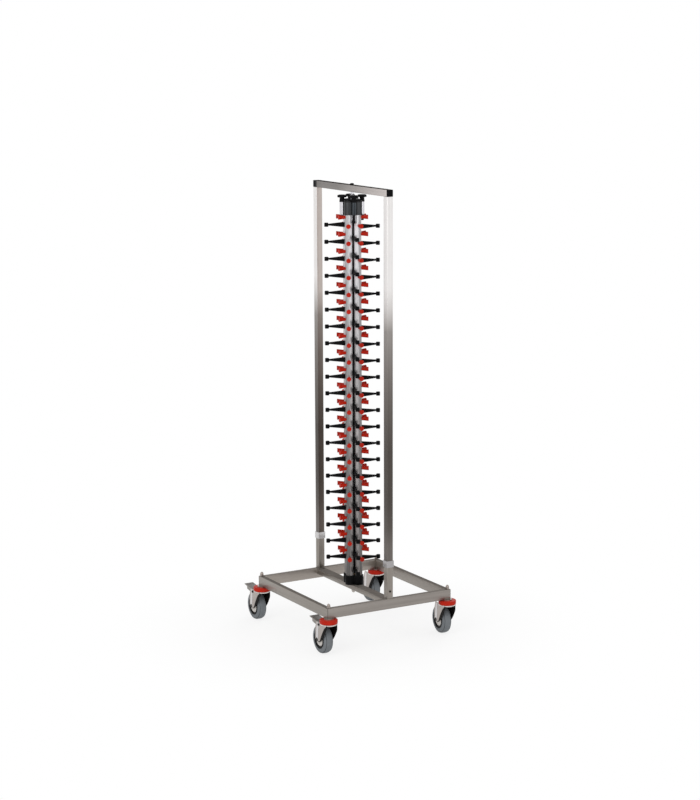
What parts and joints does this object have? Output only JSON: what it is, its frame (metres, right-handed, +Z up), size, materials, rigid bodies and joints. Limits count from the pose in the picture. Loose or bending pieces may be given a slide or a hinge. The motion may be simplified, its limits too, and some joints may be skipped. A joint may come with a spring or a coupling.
{
  "type": "mobile plate rack",
  "caption": "Wheeled steel frame with a turning column whose sides hold plates in tiers between red stops and arms set by knobs.",
  "frame": {"origin": "on the floor, under the middle of the whole object's box", "axes": "+X along the line of the two posts, +Y across it, +Z up"},
  "size_m": [0.746, 0.644, 1.8886],
  "materials": {
    "base_paint": "satin",
    "post_steel": "satin",
    "collar": "satin",
    "column_aluminium": "satin",
    "black_plastic": "matt",
    "head_plastic": "satin",
    "zinc": "polished",
    "bronze": "oiled",
    "red_plastic": "gloss",
    "arm_black": "satin",
    "tip_rubber": "matt",
    "fork_steel": "zinc plated",
    "bolt_dark": "oiled",
    "tyre_grey": "matt",
    "hub_plastic": "matt"
  },
  "bodies": {
    "frame": {"side_bar_front": "base_paint", "side_bar_rear": "base_paint", "end_bar_left": "base_paint", "end_bar_right": "base_paint", "cross_bar": "base_paint", "post_stubs": "base_paint", "post_collars": "collar", "post_left": "post_steel", "post_right": "post_steel", "top_bar": "post_steel", "bar_end_caps": "black_plastic", "pivot_rod": "zinc", "top_cap_nut": "black_plastic", "bottom_cap_nut": "zinc", "thrust_washer": "zinc", "frame_screws": "bolt_dark", "caster_studs": "zinc", "acorn_nuts": "zinc", "swivel_races": "zinc", "swivel_rings": "red_plastic"},
    "column": {"column_tubes": "column_aluminium", "column_head": "head_plastic", "column_foot": "black_plastic", "tube_plugs": "black_plastic", "spindle_sleeves": "zinc", "pivot_bushes": "bronze", "stops_front": "red_plastic", "stops_right": "red_plastic", "stops_back": "red_plastic", "stops_left": "red_plastic"},
    "arms_front": {"arm_rail_front": "arm_black", "arm_tips_front": "tip_rubber"},
    "knob_front": {"knob_front": "black_plastic"},
    "arms_right": {"arm_rail_right": "arm_black", "arm_tips_right": "tip_rubber"},
    "knob_right": {"knob_right": "black_plastic"},
    "arms_back": {"arm_rail_back": "arm_black", "arm_tips_back": "tip_rubber"},
    "knob_back": {"knob_back": "black_plastic"},
    "arms_left": {"arm_rail_left": "arm_black", "arm_tips_left": "tip_rubber"},
    "knob_left": {"knob_left": "black_plastic"},
    "caster_front_left": {"fork_front_left": "fork_steel", "axle_front_left": "bolt_dark"},
    "wheel_front_left": {"tyre_front_left": "tyre_grey", "hub_front_left": "hub_plastic"},
    "brake_front_left": {"pedal_front_left": "fork_steel"},
    "caster_front_right": {"fork_front_right": "fork_steel", "axle_front_right": "bolt_dark"},
    "wheel_front_right": {"tyre_front_right": "tyre_grey", "hub_front_right": "hub_plastic"},
    "brake_front_right": {"pedal_front_right": "fork_steel"},
    "caster_rear_right": {"fork_rear_right": "fork_steel", "axle_rear_right": "bolt_dark"},
    "wheel_rear_right": {"tyre_rear_right": "tyre_grey", "hub_rear_right": "hub_plastic"},
    "caster_rear_left": {"fork_rear_left": "fork_steel", "axle_rear_left": "bolt_dark"},
    "wheel_rear_left": {"tyre_rear_left": "tyre_grey", "hub_rear_left": "hub_plastic"}
  },
  "joints": [
    {"name": "column_turn", "type": "hinge", "parent": "frame", "child": "column", "pos_m": [0.044, 0, 0.1996], "axis": [0, 0, 1], "continuous": true},
    {"name": "arms_height_front", "type": "slide", "parent": "column", "child": "arms_front", "axis": [0, 0, 1], "range_m": [-0.002, 0.022]},
    {"name": "knob_turn_front", "type": "hinge", "parent": "column", "child": "knob_front", "pos_m": [0.08338, -0.01371, 1.8176], "axis": [0, 0, 1], "range_deg": [-1981, 181]},
    {"name": "arms_height_right", "type": "slide", "parent": "column", "child": "arms_right", "axis": [0, 0, 1], "range_m": [-0.012, 0.012]},
    {"name": "knob_turn_right", "type": "hinge", "parent": "column", "child": "knob_right", "pos_m": [0.05771, 0.03938, 1.8176], "axis": [0, 0, 1], "range_deg": [-1081, 1081]},
    {"name": "arms_height_back", "type": "slide", "parent": "column", "child": "arms_back", "axis": [0, 0, 1], "range_m": [-0.006, 0.018]},
    {"name": "knob_turn_back", "type": "hinge", "parent": "column", "child": "knob_back", "pos_m": [0.00462, 0.01371, 1.8176], "axis": [0, 0, 1], "range_deg": [-1621, 541]},
    {"name": "arms_height_left", "type": "slide", "parent": "column", "child": "arms_left", "axis": [0, 0, 1], "range_m": [-0.021, 0.003]},
    {"name": "knob_turn_left", "type": "hinge", "parent": "column", "child": "knob_left", "pos_m": [0.03029, -0.03938, 1.8176], "axis": [0, 0, 1], "range_deg": [-271, 1891]},
    {"name": "swivel_front_left", "type": "hinge", "parent": "frame", "child": "caster_front_left", "pos_m": [-0.248, -0.285, 0.1373], "axis": [0, 0, 1], "continuous": true},
    {"name": "roll_front_left", "type": "hinge", "parent": "caster_front_left", "child": "wheel_front_left", "pos_m": [-0.297, -0.285, 0.06], "axis": [0, 1, 0], "continuous": true},
    {"name": "brake_front_left", "type": "hinge", "parent": "caster_front_left", "child": "brake_front_left", "pos_m": [-0.291, -0.285, 0.125], "axis": [0, -1, 0], "range_deg": [0, 9]},
    {"name": "swivel_front_right", "type": "hinge", "parent": "frame", "child": "caster_front_right", "pos_m": [0.336, -0.285, 0.1373], "axis": [0, 0, 1], "continuous": true},
    {"name": "roll_front_right", "type": "hinge", "parent": "caster_front_right", "child": "wheel_front_right", "pos_m": [0.287, -0.285, 0.06], "axis": [0, 1, 0], "continuous": true},
    {"name": "brake_front_right", "type": "hinge", "parent": "caster_front_right", "child": "brake_front_right", "pos_m": [0.293, -0.285, 0.125], "axis": [0, -1, 0], "range_deg": [0, 9]},
    {"name": "swivel_rear_right", "type": "hinge", "parent": "frame", "child": "caster_rear_right", "pos_m": [0.336, 0.285, 0.1373], "axis": [0, 0, 1], "continuous": true},
    {"name": "roll_rear_right", "type": "hinge", "parent": "caster_rear_right", "child": "wheel_rear_right", "pos_m": [0.28719, 0.28927, 0.06], "axis": [0.0872, 0.9962, 0], "continuous": true},
    {"name": "swivel_rear_left", "type": "hinge", "parent": "frame", "child": "caster_rear_left", "pos_m": [-0.248, 0.285, 0.1373], "axis": [0, 0, 1], "continuous": true},
    {"name": "roll_rear_left", "type": "hinge", "parent": "caster_rear_left", "child": "wheel_rear_left", "pos_m": [-0.297, 0.285, 0.06], "axis": [0, 1, 0], "continuous": true}
  ],
  "couplings": [
    {"joint": "knob_turn_front", "follows": "arms_height_front", "rad_per_m": -1570.8},
    {"joint": "knob_turn_right", "follows": "arms_height_right", "rad_per_m": -1570.8},
    {"joint": "knob_turn_back", "follows": "arms_height_back", "rad_per_m": -1570.8},
    {"joint": "knob_turn_left", "follows": "arms_height_left", "rad_per_m": -1570.8}
  ]
}
